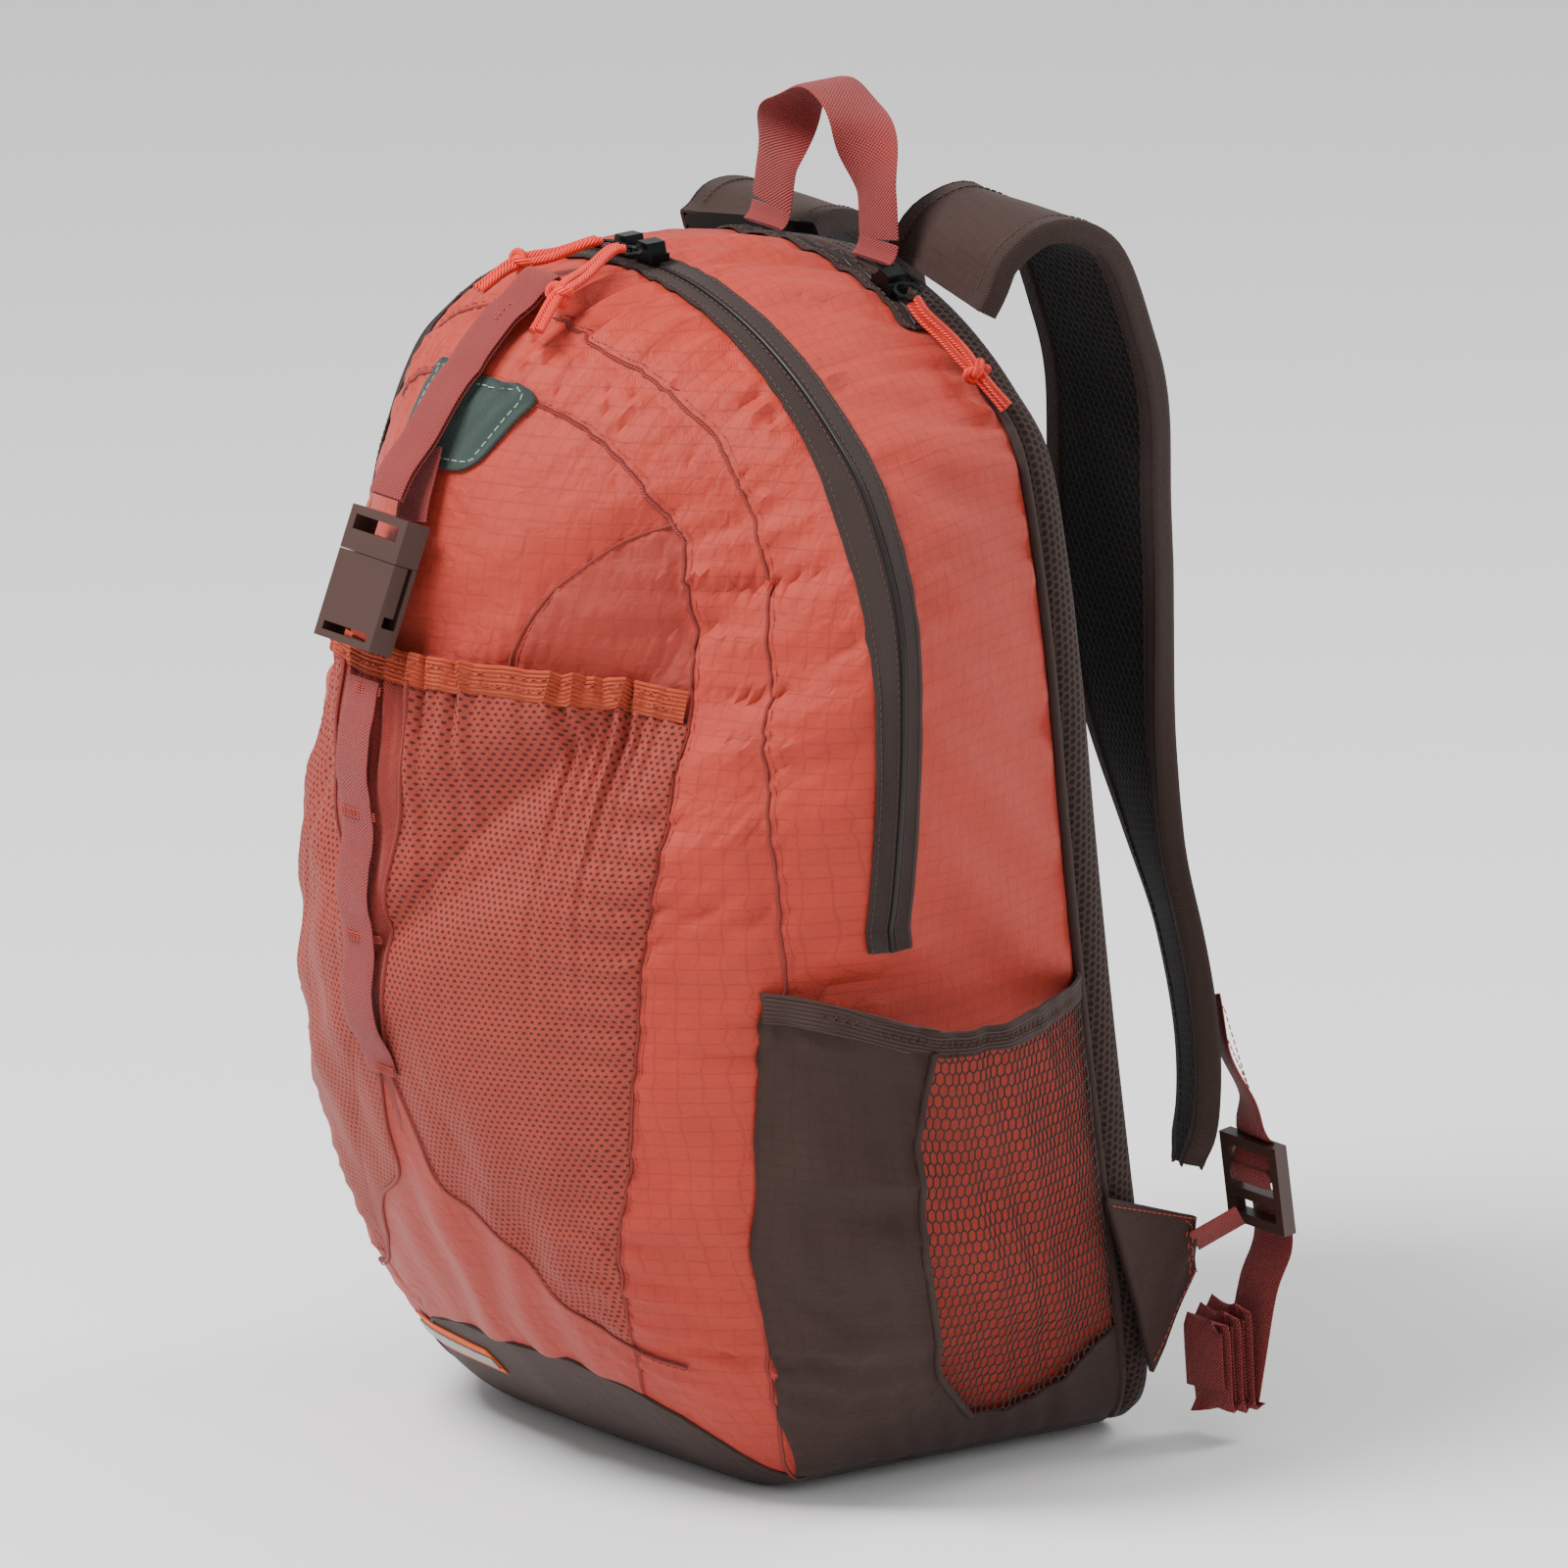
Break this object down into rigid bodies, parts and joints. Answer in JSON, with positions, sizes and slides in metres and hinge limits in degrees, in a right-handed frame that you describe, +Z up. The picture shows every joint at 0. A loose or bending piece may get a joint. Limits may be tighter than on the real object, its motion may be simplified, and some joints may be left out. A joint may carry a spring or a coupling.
{
  "type": "daypack",
  "caption": "Packed hiking daypack with a clamshell zip, stretch front pocket, net side pockets, padded back and shoulder straps, haul loop and buckled front strap.",
  "frame": {"origin": "on the flat underside of the base, 80 mm behind the plane of the main zip and in the middle of the width", "axes": "+Z up, -Y the front with the stretch pocket, +Y the wearer's back, +X the wearer's right"},
  "size_m": [0.3699, 0.3684, 0.5498],
  "materials": {
    "coral_ripstop": "satin woven ripstop nylon",
    "brown_twill": "matt woven twill",
    "spacer_mesh": "matt knitted spacer mesh",
    "strap_mesh": "matt open mesh over foam",
    "stretch_mesh": "stretch mesh with pinholes",
    "open_net": "open knitted net",
    "coral_elastic": "ribbed elastic",
    "brown_elastic": "ribbed elastic",
    "rosy_webbing": "woven polyester webbing",
    "zip_tape": "woven zip tape with a reversed coil",
    "coated_patch": "smooth coated cloth",
    "reflective_tape": "fluorescent tape with a reflective stripe",
    "pull_cord": "braided cord",
    "brown_acetal": "moulded acetal with a soft sheen",
    "black_metal": "black painted zinc alloy"
  },
  "bodies": {
    "sewn_body": {"rear_shell": "coral_ripstop", "front_shell": "coral_ripstop", "base_panel": "brown_twill", "back_panel": "spacer_mesh", "side_pocket_right": "open_net", "side_pocket_left": "open_net", "side_pocket_binding_right": "brown_elastic", "side_pocket_binding_left": "brown_elastic", "front_pocket": "stretch_mesh", "front_pocket_binding": "coral_elastic", "lash_patch": "coated_patch", "daisy_chain": "rosy_webbing", "reflective_strip": "reflective_tape", "main_zip_tape_front": "zip_tape", "main_zip_tape_rear": "zip_tape", "rear_zip_tape": "zip_tape", "wing_right": "brown_twill", "wing_left": "brown_twill", "compression_strap": "rosy_webbing", "compression_strap_tail": "rosy_webbing", "buckle_plug": "brown_acetal"},
    "main_slider_right": {"main_zip_slider_right": "black_metal"},
    "main_puller_right": {"pull_ring_right": "black_metal", "pull_cord_right": "pull_cord", "pull_knot_right": "pull_cord", "pull_tail_right": "pull_cord"},
    "main_slider_left": {"main_zip_slider_left": "black_metal"},
    "main_puller_left": {"pull_ring_left": "black_metal", "pull_cord_left": "pull_cord", "pull_knot_left": "pull_cord", "pull_tail_left": "pull_cord"},
    "rear_slider": {"rear_zip_slider": "black_metal"},
    "rear_puller": {"pull_ring_rear": "black_metal", "pull_cord_rear": "pull_cord", "pull_knot_rear": "pull_cord", "pull_tail_rear": "pull_cord"},
    "haul_loop": {"haul_loop": "rosy_webbing"},
    "shoulder_strap_right": {"shoulder_strap_right": "strap_mesh", "strap_end_webbing_right": "rosy_webbing", "lower_webbing_right": "rosy_webbing"},
    "ladder_lock_right": {"ladder_lock_right": "brown_acetal"},
    "webbing_tail_right": {"webbing_tail_right": "rosy_webbing", "webbing_fold_right": "rosy_webbing"},
    "shoulder_strap_left": {"shoulder_strap_left": "strap_mesh", "strap_end_webbing_left": "rosy_webbing", "lower_webbing_left": "rosy_webbing"},
    "ladder_lock_left": {"ladder_lock_left": "brown_acetal"},
    "webbing_tail_left": {"webbing_tail_left": "rosy_webbing", "webbing_fold_left": "rosy_webbing"},
    "buckle_socket": {"buckle_socket": "brown_acetal"},
    "buckle_prong_right": {"buckle_prong_right": "brown_acetal"},
    "buckle_prong_left": {"buckle_prong_left": "brown_acetal"}
  },
  "joints": [
    {"name": "main_zip_slider_right", "type": "hinge", "parent": "sewn_body", "child": "main_slider_right", "pos_m": [0, -0.08, 0.2995], "axis": [0, 1, 0], "range_deg": [0, 50]},
    {"name": "main_puller_right", "type": "hinge", "parent": "main_slider_right", "child": "main_puller_right", "pos_m": [0.00711, -0.08, 0.49797], "axis": [-1, 0, 0], "range_deg": [0, 140]},
    {"name": "main_zip_slider_left", "type": "hinge", "parent": "sewn_body", "child": "main_slider_left", "pos_m": [0, -0.08, 0.2995], "axis": [0, 1, 0], "range_deg": [-50, 0]},
    {"name": "main_puller_left", "type": "hinge", "parent": "main_slider_left", "child": "main_puller_left", "pos_m": [-0.00711, -0.08, 0.49797], "axis": [-1, 0, 0], "range_deg": [0, 140]},
    {"name": "rear_zip_slider", "type": "hinge", "parent": "sewn_body", "child": "rear_slider", "pos_m": [0, 0, 0.317], "axis": [0, 1, 0], "range_deg": [-56, 0]},
    {"name": "rear_puller", "type": "hinge", "parent": "rear_slider", "child": "rear_puller", "pos_m": [0.05975, 0, 0.48116], "axis": [0, -1, 0], "range_deg": [0, 120]},
    {"name": "haul_loop", "type": "hinge", "parent": "sewn_body", "child": "haul_loop", "pos_m": [0, 0.014, 0.4915], "axis": [1, 0, 0], "range_deg": [-12, 70], "stiffness_Nm_per_rad": 0.02},
    {"name": "shoulder_strap_right", "type": "hinge", "parent": "sewn_body", "child": "shoulder_strap_right", "pos_m": [0.062, 0.024, 0.477], "axis": [0.1647, 0.1855, -0.9688], "range_deg": [-12, 25], "stiffness_Nm_per_rad": 0.6},
    {"name": "ladder_lock_right", "type": "hinge", "parent": "shoulder_strap_right", "child": "ladder_lock_right", "pos_m": [0.139, 0.12336, 0.12182], "axis": [1, 0, 0], "range_deg": [-3, 40], "stiffness_Nm_per_rad": 0.02},
    {"name": "webbing_tail_right", "type": "hinge", "parent": "ladder_lock_right", "child": "webbing_tail_right", "pos_m": [0.139, 0.13311, 0.09693], "axis": [1, 0, 0], "range_deg": [0, 40], "stiffness_Nm_per_rad": 0.02},
    {"name": "shoulder_strap_left", "type": "hinge", "parent": "sewn_body", "child": "shoulder_strap_left", "pos_m": [-0.062, 0.024, 0.475], "axis": [-0.1655, 0.1863, -0.9684], "range_deg": [-24, 3], "stiffness_Nm_per_rad": 0.6},
    {"name": "ladder_lock_left", "type": "hinge", "parent": "shoulder_strap_left", "child": "ladder_lock_left", "pos_m": [-0.139, 0.12336, 0.12182], "axis": [1, 0, 0], "range_deg": [-3, 40], "stiffness_Nm_per_rad": 0.02},
    {"name": "webbing_tail_left", "type": "hinge", "parent": "ladder_lock_left", "child": "webbing_tail_left", "pos_m": [-0.139, 0.13311, 0.09693], "axis": [1, 0, 0], "range_deg": [0, 40], "stiffness_Nm_per_rad": 0.02},
    {"name": "buckle_socket", "type": "slide", "parent": "sewn_body", "child": "buckle_socket", "axis": [0, -0.3707, -0.9288], "range_m": [0, 0.022]},
    {"name": "buckle_prong_right", "type": "hinge", "parent": "sewn_body", "child": "buckle_prong_right", "pos_m": [0.014, -0.21188, 0.38906], "axis": [0, -0.9288, 0.3707], "range_deg": [0, 6], "stiffness_Nm_per_rad": 0.5},
    {"name": "buckle_prong_left", "type": "hinge", "parent": "sewn_body", "child": "buckle_prong_left", "pos_m": [-0.014, -0.21188, 0.38906], "axis": [0, -0.9288, 0.3707], "range_deg": [-6, 0], "stiffness_Nm_per_rad": 0.5}
  ],
  "couplings": [
    {"joint": "buckle_prong_left", "follows": "buckle_prong_right", "ratio": -1}
  ]
}
